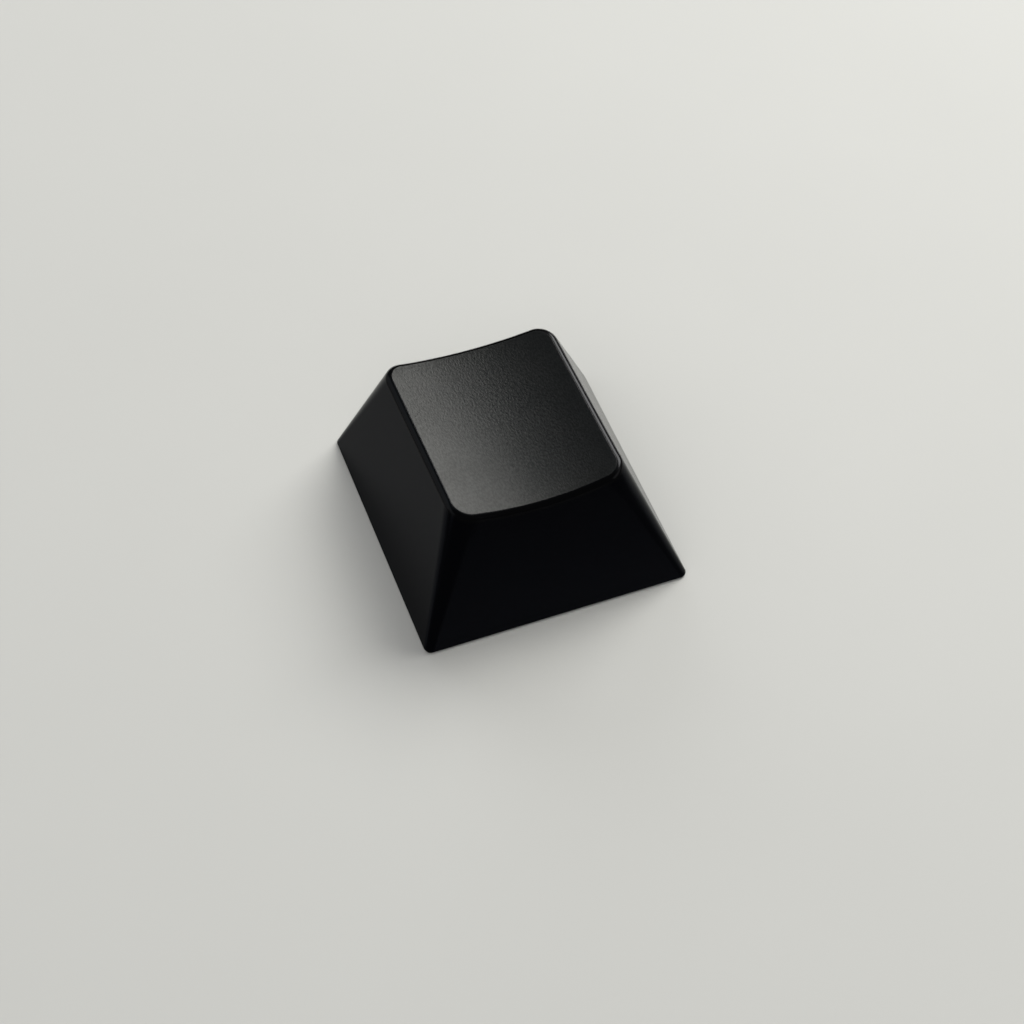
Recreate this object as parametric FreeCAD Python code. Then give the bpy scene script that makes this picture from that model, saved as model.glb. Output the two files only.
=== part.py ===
import FreeCAD, Part
import os

from FreeCAD import Placement, Rotation, Vector

# One-unit keycap for a cross-stem keyboard switch, made in one piece of metal.
# Sizes are in millimetres. +X is right, +Y is to the back, +Z is up.
# The origin is the middle of the base, in the plane of the bottom rim and on the stem's axis.

# Outside
BASE_WIDTH = 18.15           # left to right across the base, before its edge is broken
BASE_DEPTH = 18.14           # front to back across the base, before its edge is broken
BASE_CORNER_RADIUS = 0.5     # upright corners where they meet the base
TOP_WIDTH = 11.63            # left to right between the edges of the top, before rounding
TOP_DEPTH = 13.55            # front to back between the edges of the top, before rounding
TOP_SETBACK = 2.06           # how far the middle of the top lies behind the middle of the base
TOP_CORNER_RADIUS = 1.5      # upright corners where they meet the top
FRONT_HEIGHT = 7.63          # height of the top's front corners, before rounding
BACK_HEIGHT = 6.85           # height of the top's back corners, before rounding
DISH_DEPTH = 0.6             # hollow of the top, below its two side edges
EDGE_ROUND = 0.44            # rounding all the way along the edge of the top
RIM_EDGE_BREAK = 0.12        # bevel along both edges of the bottom rim, up and in from the base

# Inside
WALL = 1.4                   # walls, measured level
CEILING = 1.45               # metal between the hollow and the lowest line of the dish
HOLLOW_CORNER_RADIUS = 1.0   # upright corners of the hollow
HOLLOW_CEILING_ROUND = 0.6   # rounding between the walls and the ceiling of the hollow

# Stem
STEM_DIAMETER = 5.5
STEM_RECESS = 0.7            # end of the stem, above the bottom rim
STEM_END_CHAMFER = 0.2       # outer edge of the stem's end
STEM_ROOT_ROUND = 0.4        # rounding between the stem and the ceiling

# Cross on the switch, and the play its socket leaves
CROSS_SPAN = 4.0             # tip to tip, both arms
CROSS_SIDE_ARM = 1.2         # thickness of the arm that runs left to right
CROSS_LONG_ARM = 1.1         # thickness of the arm that runs front to back
CROSS_HEIGHT = 3.6           # how far the cross stands up out of the switch
SOCKET_TIP_PLAY = 0.08       # free length at the tips of an arm, both ends together
SOCKET_GRIP_PLAY = 0.04      # free width across an arm, both sides together
SOCKET_END_PLAY = 0.4        # free depth above the cross
SOCKET_LEAD_IN = 0.2         # bevel round the socket's mouth

# Derived sizes
DISH_RADIUS = ((TOP_WIDTH / 2) ** 2 + DISH_DEPTH ** 2) / (2 * DISH_DEPTH)
FRONT_RUN = (BASE_DEPTH - TOP_DEPTH) / 2 + TOP_SETBACK
BACK_RUN = (BASE_DEPTH - TOP_DEPTH) / 2 - TOP_SETBACK
RIM_RISE = RIM_EDGE_BREAK / FRONT_HEIGHT    # share of the height at which the rim's bevels end
STEM_RADIUS = STEM_DIAMETER / 2
SOCKET_SPAN = CROSS_SPAN + SOCKET_TIP_PLAY
SOCKET_SIDE_ARM = CROSS_SIDE_ARM + SOCKET_GRIP_PLAY
SOCKET_LONG_ARM = CROSS_LONG_ARM + SOCKET_GRIP_PLAY
SOCKET_DEPTH = CROSS_HEIGHT + SOCKET_END_PLAY

# Plane through the edges of the top
TOP_FRONT = Vector(0, FRONT_RUN - BASE_DEPTH / 2, FRONT_HEIGHT)
TOP_BACK = Vector(0, BASE_DEPTH / 2 - BACK_RUN, BACK_HEIGHT)
TOP_MIDDLE = (TOP_FRONT + TOP_BACK) * 0.5
TOP_SLOPE = (TOP_BACK - TOP_FRONT).normalize()
TOP_NORMAL = Vector(1, 0, 0).cross(TOP_SLOPE)


def rounded_rectangle(width, depth, radius):
    """Closed outline in the XY plane, centred on the origin, with a quarter circle at each corner."""
    corners = []
    for turn, (side, end) in enumerate(((1, 1), (-1, 1), (-1, -1), (1, -1))):
        centre = Vector(side * (width / 2 - radius), end * (depth / 2 - radius), 0)
        corners.append(Part.makeCircle(radius, centre, Vector(0, 0, 1), 90 * turn, 90 * turn + 90))
    outline = []
    for corner, following in zip(corners, corners[1:] + corners[:1]):
        outline.append(corner)
        outline.append(Part.makeLine(corner.lastVertex().Point, following.firstVertex().Point))
    return Part.Wire(outline)


def section(rise, inset, corner_radius):
    """Outline of the body at a share of its height, moved in level from the outer walls."""
    width = BASE_WIDTH + rise * (TOP_WIDTH - BASE_WIDTH) - 2 * inset
    front = Vector(0, rise * FRONT_RUN - BASE_DEPTH / 2 + inset, rise * FRONT_HEIGHT)
    back = Vector(0, BASE_DEPTH / 2 - rise * BACK_RUN - inset, rise * BACK_HEIGHT)
    slope = back - front
    outline = rounded_rectangle(width, slope.Length, corner_radius)
    outline.Placement = Placement((front + back) * 0.5, Rotation(Vector(0, 1, 0), slope))
    return outline


def wall_between(lower, upper):
    """Flat face between two parallel straight edges, and a ruled face between any others."""
    low_start, low_end = [vertex.Point for vertex in lower.Vertexes]
    high_start, high_end = [vertex.Point for vertex in upper.Vertexes]
    straight = lower.Curve.TypeId == "Part::GeomLine" and upper.Curve.TypeId == "Part::GeomLine"
    if straight and (low_end - low_start).cross(high_end - high_start).Length < 1e-9:
        return Part.Face(Part.makePolygon([low_start, low_end, high_end, high_start, low_start]))
    return Part.makeRuledSurface(lower, upper)


def drawn_between(lower, upper):
    """Solid between two outlines, with each edge of one joined straight to its fellow on the other."""
    faces = [wall_between(low, high) for low, high in zip(lower.OrderedEdges, upper.OrderedEdges)]
    shell = Part.makeShell(faces + [Part.Face(lower), Part.Face(upper)])
    shell.sewShape()
    return Part.makeSolid(shell)


def outer_section(rise):
    """Outline of the outer walls at a share of the height. Its corners open upwards."""
    return section(rise, 0, BASE_CORNER_RADIUS + rise * (TOP_CORNER_RADIUS - BASE_CORNER_RADIUS))


def dished_body():
    """Outside of the cap: bevelled rim, drawn-in walls, tilted dish and rounded edge."""
    rim = section(0, RIM_EDGE_BREAK, BASE_CORNER_RADIUS - RIM_EDGE_BREAK)
    bevel = drawn_between(rim, outer_section(RIM_RISE))
    above_top = 1.2
    blank = bevel.fuse(drawn_between(outer_section(RIM_RISE), outer_section(above_top)))
    reach = 2 * BASE_DEPTH
    axis_start = TOP_MIDDLE + TOP_NORMAL * (DISH_RADIUS - DISH_DEPTH) - TOP_SLOPE * reach
    body = blank.cut(Part.makeCylinder(DISH_RADIUS, 2 * reach, axis_start, TOP_SLOPE))
    dish = next(face for face in body.Faces if face.Surface.TypeId == "Part::GeomCylinder")
    return body.makeFillet(EDGE_ROUND, dish.OuterWire.Edges)


def ceiling_height(y):
    """Height of the hollow's ceiling, which keeps the same distance below the dish from front to back."""
    on_ceiling = TOP_MIDDLE - TOP_NORMAL * (DISH_DEPTH + CEILING)
    return on_ceiling.z - (y - on_ceiling.y) * TOP_NORMAL.y / TOP_NORMAL.z


def hollow():
    """Space inside the cap: bevelled mouth, walls that follow the outside, tilted ceiling."""
    widening = 2 * RIM_EDGE_BREAK
    below_rim = section(-RIM_RISE, WALL - widening, HOLLOW_CORNER_RADIUS + widening)
    mouth = drawn_between(below_rim, section(RIM_RISE, WALL, HOLLOW_CORNER_RADIUS))
    drawn = drawn_between(
        section(RIM_RISE, WALL, HOLLOW_CORNER_RADIUS), section(1, WALL, HOLLOW_CORNER_RADIUS))
    reach = 2 * BASE_WIDTH
    above = Part.makeBox(2 * reach, 2 * reach, reach, Vector(-reach, -reach, 0))
    above.Placement = Placement(Vector(0, 0, ceiling_height(0)), Rotation(Vector(0, 0, 1), TOP_NORMAL))
    space = drawn.cut(above)
    ceiling = max(space.Faces, key=lambda face: face.CenterOfMass.z)
    return space.makeFillet(HOLLOW_CEILING_ROUND, ceiling.OuterWire.Edges).fuse(mouth)


def stem():
    """Round post with a bevelled end, rooted inside the metal above the ceiling."""
    root = ceiling_height(0) + CEILING / 2
    post = Part.makeCylinder(STEM_RADIUS, root - STEM_RECESS, Vector(0, 0, STEM_RECESS))
    end = min(post.Faces, key=lambda face: face.CenterOfMass.z)
    return post.makeChamfer(STEM_END_CHAMFER, end.OuterWire.Edges)


def socket_outline(width, depth, height):
    """Level rectangle, centred on the stem's axis."""
    return Part.makePlane(width, depth, Vector(-width / 2, -depth / 2, height)).OuterWire


def socket_arm(width, depth):
    """Slot for one arm of the cross, with a bevelled mouth."""
    slot = Part.makeBox(width, depth, SOCKET_DEPTH, Vector(-width / 2, -depth / 2, STEM_RECESS))
    widening = 4 * SOCKET_LEAD_IN
    mouth = drawn_between(
        socket_outline(width + widening, depth + widening, STEM_RECESS - SOCKET_LEAD_IN),
        socket_outline(width, depth, STEM_RECESS + SOCKET_LEAD_IN))
    return slot.fuse(mouth)


def keycap():
    shell = dished_body().cut(hollow())
    whole = shell.fuse(stem()).removeSplitter()
    post = next(face for face in whole.Faces if getattr(face.Surface, "Radius", 0) == STEM_RADIUS)
    root = max(post.Edges, key=lambda edge: edge.BoundBox.Center.z)
    whole = whole.makeFillet(STEM_ROOT_ROUND, [root])
    whole = whole.cut(socket_arm(SOCKET_SPAN, SOCKET_SIDE_ARM))
    whole = whole.cut(socket_arm(SOCKET_LONG_ARM, SOCKET_SPAN))
    return whole.removeSplitter()


os.makedirs("parts", exist_ok=True)
keycap().Solids[0].exportStep("parts/keycap.step")
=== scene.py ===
import math

import bmesh
import bpy
from mathutils import Matrix, Vector


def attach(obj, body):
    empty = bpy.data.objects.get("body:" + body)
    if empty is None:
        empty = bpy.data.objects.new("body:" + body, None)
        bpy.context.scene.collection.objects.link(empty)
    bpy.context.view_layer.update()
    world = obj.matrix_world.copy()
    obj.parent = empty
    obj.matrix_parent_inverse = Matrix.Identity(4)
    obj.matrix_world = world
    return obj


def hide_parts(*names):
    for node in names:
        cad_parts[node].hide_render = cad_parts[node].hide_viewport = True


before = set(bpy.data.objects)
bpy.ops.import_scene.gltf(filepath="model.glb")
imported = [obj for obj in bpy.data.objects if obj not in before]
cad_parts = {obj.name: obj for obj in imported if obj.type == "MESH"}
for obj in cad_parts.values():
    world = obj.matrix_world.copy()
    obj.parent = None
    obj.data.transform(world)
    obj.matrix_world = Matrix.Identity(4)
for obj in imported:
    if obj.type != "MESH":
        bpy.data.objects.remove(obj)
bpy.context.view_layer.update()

scene = bpy.context.scene

# Viewing angle of the photograph, in degrees about the cap, and its lens
VIEW_AZIMUTH = -25.37
VIEW_ELEVATION = 54.38
VIEW_ROLL = 5.04
VIEW_DISTANCE = 0.1336
VIEW_OFFSET = (0.000239, -0.000344)
VIEW_LENS = 71.0
VIEW_SENSOR = 36.0
VIEW_NEAREST = 0.005
VIEW_FURTHEST = 20.0

# Sizes of the cap, in millimetres
MILLIMETRE = 0.001
BASE_WIDTH = 18.15
BASE_DEPTH = 18.14
BASE_CORNER_RADIUS = 0.5
TOP_WIDTH = 11.63
TOP_DEPTH = 13.55
TOP_SETBACK = 2.06
TOP_CORNER_RADIUS = 1.5
FRONT_HEIGHT = 7.63
BACK_HEIGHT = 6.85
DISH_DEPTH = 0.6
EDGE_ROUND = 0.44
RIM_EDGE_BREAK = 0.12
WALL = 1.4

# Plane through the edges of the top, and the round hollow along it
FRONT_RUN = (BASE_DEPTH - TOP_DEPTH) / 2 + TOP_SETBACK
BACK_RUN = (BASE_DEPTH - TOP_DEPTH) / 2 - TOP_SETBACK
TOP_FRONT = Vector((0, FRONT_RUN - BASE_DEPTH / 2, FRONT_HEIGHT))
TOP_BACK = Vector((0, BASE_DEPTH / 2 - BACK_RUN, BACK_HEIGHT))
TOP_SLOPE = (TOP_BACK - TOP_FRONT).normalized()
TOP_NORMAL = Vector((1, 0, 0)).cross(TOP_SLOPE)
DISH_RADIUS = ((TOP_WIDTH / 2) ** 2 + DISH_DEPTH ** 2) / (2 * DISH_DEPTH)
DISH_AXIS = (TOP_FRONT + TOP_BACK) / 2 + TOP_NORMAL * (DISH_RADIUS - DISH_DEPTH)

# Shares of the height at which the rim's bevel ends, and to which the walls are drawn past the top
RIM_RISE = RIM_EDGE_BREAK / FRONT_HEIGHT
BLANK_RISE = 1.2

# How finely the skin is divided: each corner, the front and back, the sides, up the walls and over
# the rounded edge
CORNER_STEPS = 12
FRONT_STEPS = 24
SIDE_STEPS = 12
WALL_STEPS = 6
ROUND_STEPS = 10

# How far past the straight sides the dish's strips begin, and the slack allowed in a match, in millimetres
STRIP_START = 0.12
SLACK = 0.0001

# Angles from which an edge is left sharp
SHARP_RIDGE = math.radians(24)
SHARP_GROOVE = math.radians(28)

# Colours of the metal, and how far beyond the dish's surface they change, in millimetres; the rounded edge's
# colour is a brighter copy of the walls', a painted highlight along the edge
WALL_COLOUR = (0.0078, 0.0083, 0.0105, 1)
EDGE_HIGHLIGHT_COLOUR = (0.0118, 0.0120, 0.0126, 1)
DISH_COLOUR = (0.0190, 0.0192, 0.0190, 1)
GLANCING_COLOUR = (0.84, 0.84, 0.84, 1)
DISH_FADE = (0.0008, 0.0032)
EDGE_HIGHLIGHT_FADE = (0.25, 0.45)

# Blasted grain: its noise (scale, detail, roughness), stretch from front to back, colour change, depth in
# metres and share left on the walls
GRAIN_NOISE = (8800.0, 2.0, 0.55)
GRAIN_STRETCH = (1.0, 0.6, 1.0)
GRAIN_SPECKLE = (0.85, 1.15)
GRAIN_DEPTH = 0.000013
GRAIN_ON_WALLS = 0.015

# Where touch has smoothed the grain, from one spot outwards, and how it calms towards the right
SMOOTHEST = Vector((-4.6, -3.8, 7.2))
WORN_REACH = (0.002, 0.009)
WORN_GRAIN = (0.22, 1.12)
CALM_REACH = (0.0, 0.005)
CALM_GRAIN = (1.0, 0.6)

# Roughness, which varies in broad patches, and the band of noise that is used
PATCH_NOISE = (420.0, 3.0, 0.5)
WALL_ROUGHNESS = (0.19, 0.21)
DISH_ROUGHNESS = (0.34, 0.36)
NOISE_BAND = (0.3, 0.7)

# Table: half its width, its divisions, the gap under the rim in millimetres, and its finish
TABLE_REACH = 1.5
TABLE_DIVISIONS = 8
TABLE_GAP = 0.01
TABLE_TONES = ((0.566, 0.569, 0.551, 1), (0.586, 0.589, 0.571, 1))
TABLE_NOISE = (60.0, 3.0, 0.5)
TABLE_ROUGHNESS = 0.6
TABLE_SHEEN = 0.2

# How far from the cap the table turns into a plain pale backdrop, in metres, and the backdrop's colour
BACKDROP_REACH = (0.12, 0.35)
BACKDROP_COLOUR = (0.60, 0.602, 0.58, 1)

# Lights: degrees right of straight back, degrees above the table, distance, width, height, radiance, colour,
# whether they light the table, and whether the metal mirrors them
LIGHTS = {
    "window": (52.0, 37.5, 0.55, 0.385, 0.2615, 11.2, (1.0, 0.99, 0.95), True, True),
    "back_light": (0.0, 20.0, 1.4, 1.05, 0.50, 4.0, (0.98, 0.99, 1.0), True, False),
    "front_fill": (-132.0, 52.0, 0.8, 0.8, 0.8, 0.95, (1.0, 0.99, 0.95), True, False),
    "side_fill": (-58.0, 32.0, 0.8, 0.55, 0.6, 0.7, (1.0, 0.99, 0.96), True, False),
    "side_card": (-46.0, 30.0, 0.8, 0.85, 0.70, 0.62, (0.95, 0.98, 1.0), False, True),
    "top_card": (4.0, 54.0, 0.8, 1.0, 0.55, 0.14, (0.55, 0.85, 1.0), False, True),
    "right_card": (116.0, 32.0, 0.8, 0.78, 0.40, 0.70, (1.0, 0.99, 0.96), False, True),
    "left_card": (-92.0, 27.0, 0.8, 0.30, 0.40, 0.45, (0.95, 0.98, 1.0), False, True),
}
ROOM = (0.128, 0.129, 0.138, 1)


def new_material(name):
    """Material with an empty node tree, apart from its output."""
    material = bpy.data.materials.new(name)
    material.use_nodes = True
    tree = material.node_tree
    tree.nodes.clear()
    output = tree.nodes.new("ShaderNodeOutputMaterial")
    return material, tree, output


def give(tree, socket, value):
    """Feed an input from another node's socket, or set it to a constant."""
    if isinstance(value, bpy.types.NodeSocket):
        tree.links.new(value, socket)
    else:
        socket.default_value = value


def combined(tree, operation, *values):
    """Product or sum of numbers, each a socket or a constant."""
    node = tree.nodes.new("ShaderNodeMath")
    node.operation = operation
    for socket, value in zip(node.inputs, values):
        give(tree, socket, value)
    return node.outputs["Value"]


def vector_step(tree, operation, *values, result="Vector"):
    """One step of vector arithmetic, whose inputs are sockets or constants."""
    node = tree.nodes.new("ShaderNodeVectorMath")
    node.operation = operation
    for socket, value in zip(node.inputs, values):
        give(tree, socket, value)
    return node.outputs[result]


def ranged(tree, value, before, after):
    """Value carried from one range to another, with soft ends."""
    node = tree.nodes.new("ShaderNodeMapRange")
    node.interpolation_type = "SMOOTHSTEP"
    node.inputs["From Min"].default_value, node.inputs["From Max"].default_value = before
    node.inputs["To Min"].default_value, node.inputs["To Max"].default_value = after
    tree.links.new(value, node.inputs["Value"])
    return node.outputs["Result"]


def noise(tree, place, scale, detail, roughness):
    """Three-dimensional noise at a place."""
    node = tree.nodes.new("ShaderNodeTexNoise")
    node.inputs["Scale"].default_value = scale
    node.inputs["Detail"].default_value = detail
    node.inputs["Roughness"].default_value = roughness
    tree.links.new(place, node.inputs["Vector"])
    return node.outputs["Fac"]


def mixed(tree, share, low, high, blend="MIX"):
    """Colour mixed from two others, each a socket or a constant."""
    node = tree.nodes.new("ShaderNodeMix")
    node.data_type = "RGBA"
    node.blend_type = blend
    tree.links.new(share, node.inputs["Factor"])
    give(tree, node.inputs["A"], low)
    give(tree, node.inputs["B"], high)
    return node.outputs["Result"]


def from_dish_axis(tree, place):
    """Distance from the axis of the top's round hollow."""
    from_axis = vector_step(tree, "SUBTRACT", place, DISH_AXIS * MILLIMETRE)
    across = vector_step(tree, "MULTIPLY", from_axis, (1, 0, 0))
    rise = vector_step(tree, "DOT_PRODUCT", from_axis, TOP_NORMAL, result="Value")
    upward = tree.nodes.new("ShaderNodeCombineXYZ")
    tree.links.new(rise, upward.inputs["Z"])
    radial = vector_step(tree, "ADD", across, upward.outputs["Vector"])
    return vector_step(tree, "LENGTH", radial, result="Value")


def within(tree, distance, fade):
    """One up to the nearer distance beyond the dish, in millimetres, and none from the further one."""
    near, far = [(DISH_RADIUS + beyond) * MILLIMETRE for beyond in fade]
    return ranged(tree, distance, (near, far), (1.0, 0.0))


def black_anodised():
    """Black-anodised aluminium, finely blasted on the dished top and smoother on the walls."""
    material, tree, output = new_material("black_anodised_metal")
    nodes, links = tree.nodes, tree.links
    place = nodes.new("ShaderNodeTexCoord").outputs["Object"]
    distance = from_dish_axis(tree, place)
    dish = within(tree, distance, DISH_FADE)
    edge_highlight = within(tree, distance, EDGE_HIGHLIGHT_FADE)
    pits = noise(tree, vector_step(tree, "MULTIPLY", place, GRAIN_STRETCH), *GRAIN_NOISE)
    patches = noise(tree, place, *PATCH_NOISE)

    # Painted highlight: the rounded edge takes a brighter copy of the wall colour, which brightens its
    # reflections
    walls = mixed(tree, edge_highlight, WALL_COLOUR, EDGE_HIGHLIGHT_COLOUR)
    tint = mixed(tree, dish, walls, DISH_COLOUR)
    speckled = mixed(tree, dish, tint, ranged(tree, pits, NOISE_BAND, GRAIN_SPECKLE), "MULTIPLY")

    matt = nodes.new("ShaderNodeMix")
    links.new(dish, matt.inputs["Factor"])
    links.new(ranged(tree, patches, NOISE_BAND, WALL_ROUGHNESS), matt.inputs["A"])
    links.new(ranged(tree, patches, NOISE_BAND, DISH_ROUGHNESS), matt.inputs["B"])

    from_spot = vector_step(tree, "DISTANCE", place, SMOOTHEST * MILLIMETRE, result="Value")
    worn = ranged(tree, from_spot, WORN_REACH, WORN_GRAIN)
    split = nodes.new("ShaderNodeSeparateXYZ")
    links.new(place, split.inputs["Vector"])
    calm = ranged(tree, split.outputs["X"], CALM_REACH, CALM_GRAIN)
    rubbed = combined(tree, "MULTIPLY", worn, calm)
    blasted = combined(tree, "MULTIPLY", rubbed, ranged(tree, dish, (0.0, 1.0), (GRAIN_ON_WALLS, 1.0)))
    bump = nodes.new("ShaderNodeBump")
    bump.inputs["Strength"].default_value = 1.0
    bump.inputs["Distance"].default_value = GRAIN_DEPTH
    links.new(combined(tree, "MULTIPLY", pits, blasted), bump.inputs["Height"])

    surface = nodes.new("ShaderNodeBsdfPrincipled")
    surface.inputs["Metallic"].default_value = 1.0
    surface.inputs["Specular Tint"].default_value = GLANCING_COLOUR
    links.new(speckled, surface.inputs["Base Color"])
    links.new(matt.outputs["Result"], surface.inputs["Roughness"])
    links.new(bump.outputs["Normal"], surface.inputs["Normal"])
    links.new(surface.outputs["BSDF"], output.inputs["Surface"])
    return material


def draw_outline(work, width, depth, radius):
    """Rounded rectangle in an empty mesh, whose sides and corners are divided alike at every size."""
    made = bmesh.ops.create_grid(work, x_segments=1, y_segments=1, size=0.5)
    bmesh.ops.scale(work, vec=(width, depth, 1), verts=made["verts"])
    bmesh.ops.bevel(work, geom=made["verts"], offset=radius, offset_type="OFFSET", affect="VERTICES",
                    segments=CORNER_STEPS, profile=0.5, material=-1)
    for axis, steps in ((0, FRONT_STEPS), (1, SIDE_STEPS)):
        straight = [edge for edge in work.edges
                    if abs(edge.verts[0].co[axis] - edge.verts[1].co[axis]) > radius]
        bmesh.ops.bisect_edges(work, edges=straight, cuts=steps - 1)
    work.faces.ensure_lookup_table()
    return work.faces[0]


def outline_at(rise):
    """Points round the outer walls at a share of the cap's height."""
    work = bmesh.new()
    front = Vector((0, rise * FRONT_RUN - BASE_DEPTH / 2, rise * FRONT_HEIGHT))
    back = Vector((0, BASE_DEPTH / 2 - rise * BACK_RUN, rise * BACK_HEIGHT))
    width = BASE_WIDTH + rise * (TOP_WIDTH - BASE_WIDTH)
    radius = BASE_CORNER_RADIUS + rise * (TOP_CORNER_RADIUS - BASE_CORNER_RADIUS)
    face = draw_outline(work, width, (back - front).length, radius)
    slope = (back - front).normalized()
    middle = (front + back) / 2
    points = [middle + Vector((vert.co.x, 0, 0)) + slope * vert.co.y for vert in face.verts]
    work.free()
    return points


def across_dish(vector):
    """Part of a vector that is square to the dish's axis."""
    return vector - TOP_SLOPE * vector.dot(TOP_SLOPE)


def reach(start, direction, radius, meeting):
    """How far along a line it comes to a distance from the dish's axis, first (-1) or last (1)."""
    offset = across_dish(start - DISH_AXIS)
    step = across_dish(direction)
    half = offset.dot(step)
    spare = offset.length_squared - radius ** 2
    return (meeting * math.sqrt(half ** 2 - step.length_squared * spare) - half) / step.length_squared


def edge_profile(low, high, along):
    """Points up one line of a wall, then over the rounded edge to where it runs into the dish."""
    climb = high - low
    outside = along.cross(climb).normalized()
    sharp = low + climb * reach(low, climb, DISH_RADIUS, -1)
    upward = -across_dish(sharp - DISH_AXIS).normalized()
    downward = (outside * outside.dot(upward) - upward).normalized()
    start = sharp - outside * EDGE_ROUND
    centre = start + downward * reach(start, downward, DISH_RADIUS + EDGE_ROUND, 1)
    inward = -across_dish(centre - DISH_AXIS).normalized()
    turn = outside.angle(inward)
    rounding = []
    for step in range(ROUND_STEPS + 1):
        part = turn * step / ROUND_STEPS
        facing = (outside * math.sin(turn - part) + inward * math.sin(part)) / math.sin(turn)
        rounding.append(centre + facing * EDGE_ROUND)
    wall = [low.lerp(rounding[0], step / WALL_STEPS) for step in range(WALL_STEPS)]
    return wall + rounding


def ring_edges(work, ring):
    """Edges between the neighbours of a closed ring of vertices."""
    return [work.edges.get((vert, ring[index - 1])) for index, vert in enumerate(ring)]


def extrude_ring(work, ring):
    """New ring of vertices on top of a closed one, in the same order."""
    made = set(bmesh.ops.extrude_edge_only(work, edges=ring_edges(work, ring))["geom"])
    return [next(edge.other_vert(vert) for edge in vert.link_edges if edge.other_vert(vert) in made)
            for vert in ring]


def fill_dish(work, ring, plan):
    """Round hollow inside a ring: strips from front to back, cut across in line with the sides."""
    bmesh.ops.contextual_create(work, geom=ring_edges(work, ring))
    straight = BASE_DEPTH / 2 - BASE_CORNER_RADIUS + 10 * SLACK
    columns = list(zip(plan, ring))
    for point, vert in columns:
        if point.y < -straight - STRIP_START:
            behind = Vector((point.x, -point.y, 0))
            partner = min(columns, key=lambda column: (column[0] - behind).length)[1]
            bmesh.ops.connect_verts(work, verts=[vert, partner])
    rim = set(ring)
    faces = [face for face in work.faces if rim.issuperset(face.verts)]
    dish = faces + list(dict.fromkeys(edge for face in faces for edge in face.edges)) + ring
    for point, vert in columns:
        if point.x > 0 and abs(point.y) < straight:
            cut = bmesh.ops.bisect_plane(work, geom=dish, dist=SLACK, plane_co=vert.co, plane_no=TOP_SLOPE)
            dish = cut["geom"]


def outer_skin(work):
    """Walls, rounded edge and dish of the cap, open at the bottom rim."""
    face = draw_outline(work, BASE_WIDTH - 2 * RIM_EDGE_BREAK, BASE_DEPTH - 2 * RIM_EDGE_BREAK,
                        BASE_CORNER_RADIUS - RIM_EDGE_BREAK)
    ring = list(face.verts)
    plan = [vert.co.copy() for vert in ring]
    bmesh.ops.delete(work, geom=[face], context="FACES_ONLY")
    base = outline_at(RIM_RISE)
    top = outline_at(BLANK_RISE)
    profiles = []
    for index, (low, high) in enumerate(zip(base, top)):
        after = (index + 1) % len(base)
        sharp = reach(low, high - low, DISH_RADIUS, -1)
        along = base[after].lerp(top[after], sharp) - base[index - 1].lerp(top[index - 1], sharp)
        profiles.append(edge_profile(low, high, along))
    for level in zip(*profiles):
        ring = extrude_ring(work, ring)
        for vert, point in zip(ring, level):
            vert.co = point
    fill_dish(work, ring, plan)
    bmesh.ops.scale(work, vec=(MILLIMETRE, MILLIMETRE, MILLIMETRE), verts=work.verts)


def on_outside(face):
    """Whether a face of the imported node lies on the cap's outside or on its bottom rim."""
    place = face.calc_center_median() / MILLIMETRE
    rise = place.z / ((FRONT_HEIGHT + BACK_HEIGHT) / 2)
    half_width = BASE_WIDTH / 2 + rise * (TOP_WIDTH - BASE_WIDTH) / 2
    front = rise * FRONT_RUN - BASE_DEPTH / 2
    back = BASE_DEPTH / 2 - rise * BACK_RUN
    below_dish = across_dish(place - DISH_AXIS).length - DISH_RADIUS
    depth = min(half_width - abs(place.x), place.y - front, back - place.y, below_dish)
    return depth < WALL / 2 or place.z < 10 * SLACK


def smooth_cap(node, metal):
    """The cap with an evenly divided outside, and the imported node's own hollow and stem."""
    work = bmesh.new()
    outer_skin(work)
    skin_faces = set(work.faces)
    skin_verts = set(work.verts)
    work.from_mesh(node.data)
    carried = [vert for vert in work.verts if vert not in skin_verts]
    bmesh.ops.remove_doubles(work, verts=carried, dist=SLACK * MILLIMETRE)
    outside = [face for face in work.faces if face not in skin_faces and on_outside(face)]
    bmesh.ops.delete(work, geom=outside, context="FACES")
    open_edges = [edge for edge in work.edges if edge.is_boundary]
    bmesh.ops.triangle_fill(work, use_beauty=True, edges=open_edges)
    bmesh.ops.recalc_face_normals(work, faces=work.faces)
    for face in work.faces:
        face.smooth = True
        face.material_index = 0
    for edge in work.edges:
        edge.smooth = edge.calc_face_angle() < (SHARP_RIDGE if edge.is_convex else SHARP_GROOVE)
    mesh = bpy.data.meshes.new("keycap_body")
    work.to_mesh(mesh)
    work.free()
    mesh.attributes.remove(mesh.attributes["custom_normal"])
    cap = bpy.data.objects.new("keycap_body", mesh)
    scene.collection.objects.link(cap)
    mesh.materials.append(metal)
    shade = cap.modifiers.new("even_shading", "WEIGHTED_NORMAL")
    shade.keep_sharp = True
    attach(cap, "root")
    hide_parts("keycap")


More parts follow.
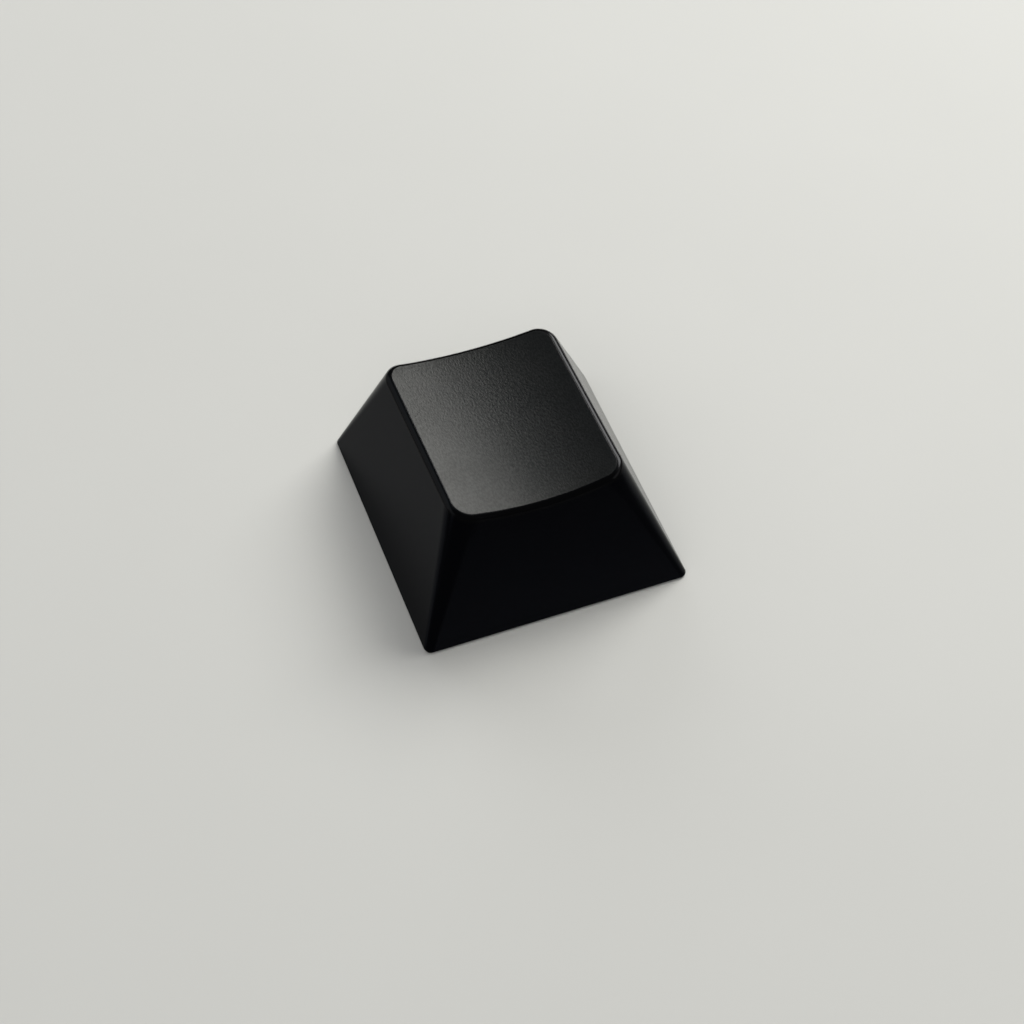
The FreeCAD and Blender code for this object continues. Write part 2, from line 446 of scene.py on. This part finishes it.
def pale_table():
    """Smooth off-white table top, which turns into a plain pale backdrop far from the cap."""
    material, tree, output = new_material("pale_table")
    place = tree.nodes.new("ShaderNodeTexCoord").outputs["Object"]
    cloud = noise(tree, place, *TABLE_NOISE)
    surface = tree.nodes.new("ShaderNodeBsdfPrincipled")
    surface.inputs["Roughness"].default_value = TABLE_ROUGHNESS
    surface.inputs["Specular IOR Level"].default_value = TABLE_SHEEN
    tree.links.new(mixed(tree, cloud, *TABLE_TONES), surface.inputs["Base Color"])

    backdrop = tree.nodes.new("ShaderNodeEmission")
    backdrop.inputs["Color"].default_value = BACKDROP_COLOUR
    far = ranged(tree, vector_step(tree, "LENGTH", place, result="Value"), BACKDROP_REACH, (0.0, 1.0))
    ray = tree.nodes.new("ShaderNodeLightPath").outputs
    seen = combined(tree, "ADD", ray["Is Camera Ray"], ray["Is Glossy Ray"])
    seen = combined(tree, "ADD", seen, ray["Is Transmission Ray"])
    whole = tree.nodes.new("ShaderNodeMixShader")
    tree.links.new(combined(tree, "MULTIPLY", far, seen), whole.inputs["Fac"])
    tree.links.new(surface.outputs["BSDF"], whole.inputs[1])
    tree.links.new(backdrop.outputs["Emission"], whole.inputs[2])
    tree.links.new(whole.outputs["Shader"], output.inputs["Surface"])
    return material


def table_top():
    """Floor that the cap stands on, a hair below the rim."""
    mesh = bpy.data.meshes.new("table_top")
    work = bmesh.new()
    made = bmesh.ops.create_grid(work, x_segments=TABLE_DIVISIONS, y_segments=TABLE_DIVISIONS,
                                 size=TABLE_REACH)
    bmesh.ops.translate(work, vec=(0, 0, -TABLE_GAP * MILLIMETRE), verts=made["verts"])
    work.to_mesh(mesh)
    work.free()
    table = bpy.data.objects.new("table_top", mesh)
    scene.collection.objects.link(table)
    mesh.materials.append(pale_table())


def soft_light(name, azimuth, elevation, distance, width, height, radiance, colour, on_table, in_metal):
    """Rectangular soft light that faces the cap, placed by its angles from the back and the table."""
    turn, rise = math.radians(azimuth), math.radians(elevation)
    level = Vector((math.sin(turn), math.cos(turn), 0)) * math.cos(rise)
    place = (level + Vector((0, 0, math.sin(rise)))) * distance
    lamp = bpy.data.lights.new(name, "AREA")
    lamp.shape = "RECTANGLE"
    lamp.size = width
    lamp.size_y = height
    lamp.energy = radiance * math.pi * width * height
    lamp.color = colour
    holder = bpy.data.objects.new(name, lamp)
    holder.location = place
    holder.rotation_euler = (-place).to_track_quat("-Z", "Y").to_euler()
    holder.visible_diffuse = on_table
    holder.visible_glossy = in_metal
    scene.collection.objects.link(holder)


def dim_room():
    """Even, dim light from the rest of the room."""
    world = bpy.data.worlds.new("dim_room")
    world.use_nodes = True
    background = world.node_tree.nodes["Background"]
    background.inputs["Color"].default_value = ROOM
    background.inputs["Strength"].default_value = 1.0
    scene.world = world


def photo_camera():
    """Camera at the photograph's viewing angle."""
    azimuth = math.radians(VIEW_AZIMUTH)
    elevation = math.radians(VIEW_ELEVATION)
    back = Vector((math.sin(azimuth) * math.cos(elevation), -math.cos(azimuth) * math.cos(elevation),
                   math.sin(elevation)))
    right = Vector((0, 0, 1)).cross(back).normalized()
    up = back.cross(right)
    turn = Matrix((right, up, back)).transposed() @ Matrix.Rotation(math.radians(VIEW_ROLL), 3, "Z")
    lens = bpy.data.cameras.new("photo_camera")
    lens.sensor_width = VIEW_SENSOR
    lens.lens = VIEW_LENS
    lens.clip_start = VIEW_NEAREST
    lens.clip_end = VIEW_FURTHEST
    camera = bpy.data.objects.new("photo_camera", lens)
    place = turn @ Vector((*VIEW_OFFSET, VIEW_DISTANCE))
    camera.matrix_world = Matrix.Translation(place) @ turn.to_4x4()
    scene.collection.objects.link(camera)
    scene.camera = camera


smooth_cap(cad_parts["keycap"], black_anodised())
table_top()
for light_name, light in LIGHTS.items():
    soft_light(light_name, *light)
dim_room()
photo_camera()

scene.view_settings.view_transform = "Standard"
